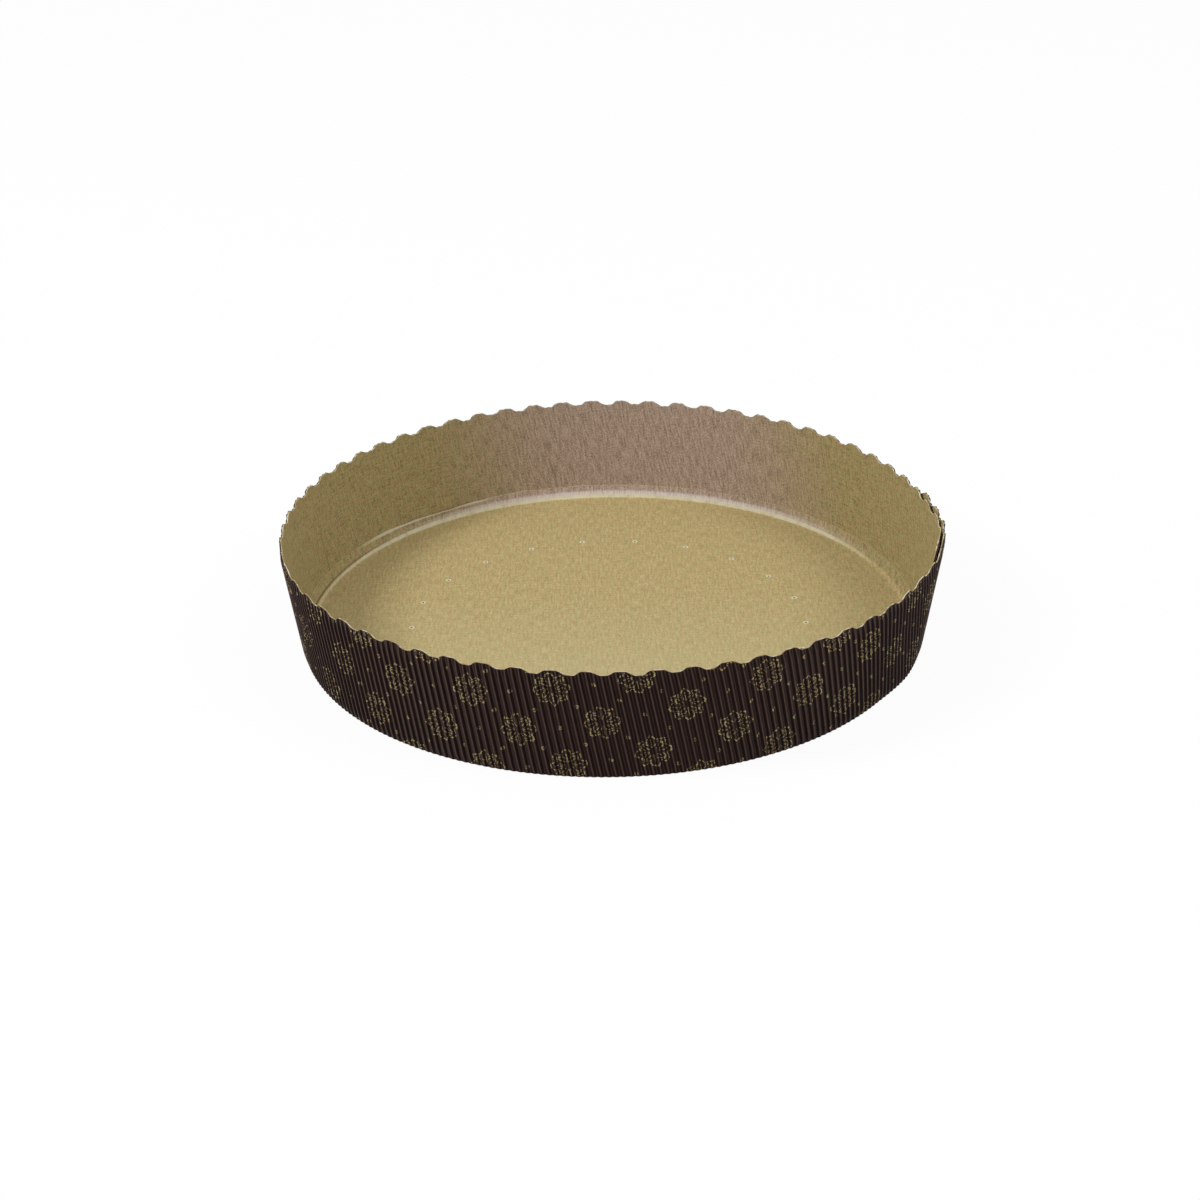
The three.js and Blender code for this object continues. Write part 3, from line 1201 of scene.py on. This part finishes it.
@dataclass(frozen=True)
class PhotoCamera:
    """The camera of the photograph, fitted to the rim, the foot and the floor's edge."""

    elevation: float = 26.5
    distance: float = 812.4
    side: float = -3.1
    lift: float = 8.1
    roll: float = 1.0
    lens: float = 77.4
    sensor: float = 36.0

    def build(self, sizes: MoldSizes) -> None:
        """Makes the camera, aimed at the mold."""
        data = bpy.data.cameras.new("photo_camera")
        data.lens = self.lens
        data.sensor_width = self.sensor
        data.sensor_fit = "HORIZONTAL"
        tilt = math.radians(self.elevation)
        right = Vector((1, 0, 0))
        up = Vector((0, math.sin(tilt), math.cos(tilt)))
        back = Vector((0, -math.cos(tilt), math.sin(tilt)))
        turn = math.radians(self.roll)
        right_rolled = math.cos(turn) * right - math.sin(turn) * up
        up_rolled = math.sin(turn) * right + math.cos(turn) * up
        middle_x, middle_y = sizes.middle
        place = Vector((middle_x + self.side, middle_y, self.lift)) + back * self.distance
        pose = Matrix((right_rolled, up_rolled, back)).transposed().to_4x4()
        pose.translation = place * MM
        camera = bpy.data.objects.new("photo_camera", data)
        camera.matrix_world = pose
        bpy.context.scene.collection.objects.link(camera)
        bpy.context.scene.camera = camera


@dataclass(frozen=True)
class Lamp:
    """One soft area lamp, its place in metres from the mold."""

    name: str
    place: tuple[float, float, float]
    power: float
    size: float

    def build(self) -> None:
        """Makes the lamp, turned towards the mold."""
        data = bpy.data.lights.new(self.name, "AREA")
        data.energy = self.power
        data.size = self.size
        made = bpy.data.objects.new(self.name, data)
        made.location = self.place
        made.rotation_euler = (-Vector(self.place)).to_track_quat("-Z", "Y").to_euler()
        bpy.context.scene.collection.objects.link(made)


@dataclass(frozen=True)
class Studio:
    """White surroundings, a pale floor that keeps the shadow, and soft lamps."""

    floor_size: float = 6.0
    floor_grey: float = 0.9
    floor_glow: float = 0.94
    floor_drop: float = 0.0002
    sky: float = 0.5
    lamps: tuple[Lamp, ...] = (
        Lamp("left_lamp", (-1.05, -0.3, 1.1), 13.0, 0.45),
        Lamp("right_lamp", (1.0, -0.35, 1.05), 7.0, 0.6),
    )

    def build(self) -> None:
        """Makes the world, the floor and the lamps."""
        self._world()
        self._floor()
        for lamp in self.lamps:
            lamp.build()
        bpy.context.scene.view_settings.view_transform = "Standard"

    def _seen(self, tree: bpy.types.NodeTree) -> Term:
        """Gives 1 where the surroundings are seen directly, in gloss or through glass."""
        path = tree.nodes.new("ShaderNodeLightPath")
        parts = [Term(tree, path.outputs[name])
                 for name in ("Is Camera Ray", "Is Glossy Ray", "Is Transmission Ray")]
        return parts[0].most(parts[1]).most(parts[2])

    def _world(self) -> None:
        """Makes plain white surroundings with a softer light of their own."""
        world = bpy.data.worlds.new("studio_world")
        bpy.context.scene.world = world
        world.use_nodes = True
        tree = world.node_tree
        background = tree.nodes["Background"]
        background.inputs["Color"].default_value = (1, 1, 1, 1)
        strength = self._seen(tree) * (1 - self.sky) + self.sky
        tree.links.new(strength.socket, background.inputs["Strength"])

    def _floor(self) -> None:
        """Makes the pale floor."""
        mesh = bpy.data.meshes.new("studio_floor")
        half = self.floor_size / 2
        corners = [(-half, -half, 0), (half, -half, 0), (half, half, 0), (-half, half, 0)]
        mesh.from_pydata(corners, [], [(0, 1, 2, 3)])
        floor = bpy.data.objects.new("studio_floor", mesh)
        floor.location.z = -self.floor_drop
        bpy.context.scene.collection.objects.link(floor)
        material = bpy.data.materials.new("studio_floor")
        material.use_nodes = True
        tree = material.node_tree
        shader = tree.nodes["Principled BSDF"]
        shader.inputs["Base Color"].default_value = (*[self.floor_grey] * 3, 1)
        shader.inputs["Roughness"].default_value = 1.0
        shader.inputs["Specular IOR Level"].default_value = 0.0
        glow = tree.nodes.new("ShaderNodeEmission")
        mix = tree.nodes.new("ShaderNodeMixShader")
        share = self._seen(tree) * self.floor_glow
        tree.links.new(share.socket, mix.inputs["Fac"])
        tree.links.new(shader.outputs[0], mix.inputs[1])
        tree.links.new(glow.outputs[0], mix.inputs[2])
        tree.links.new(mix.outputs[0], tree.nodes["Material Output"].inputs["Surface"])
        mesh.materials.append(material)


def make_finishes(sizes: MoldSizes) -> dict[str, Finish]:
    """Makes every finish of the mold.

    Args:
        sizes: Sizes of the mold.

    Returns:
        The finishes by name.
    """
    return {
        "printed": PrintedPaper("printed_paper", RolledSheet(sizes).low),
        "base_printed": PrintedPaper("base_printed_paper", None),
        "wall_kraft": WallPaper(sizes),
        "floor_kraft": FloorPaper(sizes),
        "raw": CutEdge("raw_paper", RAW_LIGHT, RAW_DARK),
        "kraft_edge": CutEdge("kraft_edge", CUT_KRAFT, TORN_KRAFT),
        "wall_kraft_edge": FlangeEdge(sizes.middle[0]),
        "brown_edge": CutEdge("brown_edge", CUT_BROWN, TORN_BROWN),
    }


def adopt(pieces: Sequence[bpy.types.Object], node: str, slots: Sequence[Slot]) -> None:
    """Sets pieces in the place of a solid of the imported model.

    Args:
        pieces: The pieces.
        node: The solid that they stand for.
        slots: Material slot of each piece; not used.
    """
    for piece, slot in zip(pieces, slots):
        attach(piece, BODY)
        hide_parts(node)
        log.info("%s: %d faces, in the place of %s", piece.name, len(piece.data.polygons), node)


def main() -> None:
    """Builds the mold, the camera and the studio."""
    logging.basicConfig(level=logging.INFO, format="%(message)s")
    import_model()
    sizes = MoldSizes.from_frame()
    PhotoCamera().build(sizes)
    finishes = make_finishes(sizes)
    adopt(SideWall(sizes).build(finishes), WALL_NODE, (Slot.KRAFT_LINER, Slot.PRINTED_BOARD))
    adopt(BaseDisc(sizes).build(finishes), BASE_NODE, (Slot.KRAFT_LINER, Slot.PRINTED_BOARD))
    Studio().build()


if __name__ == "__main__":
    main()
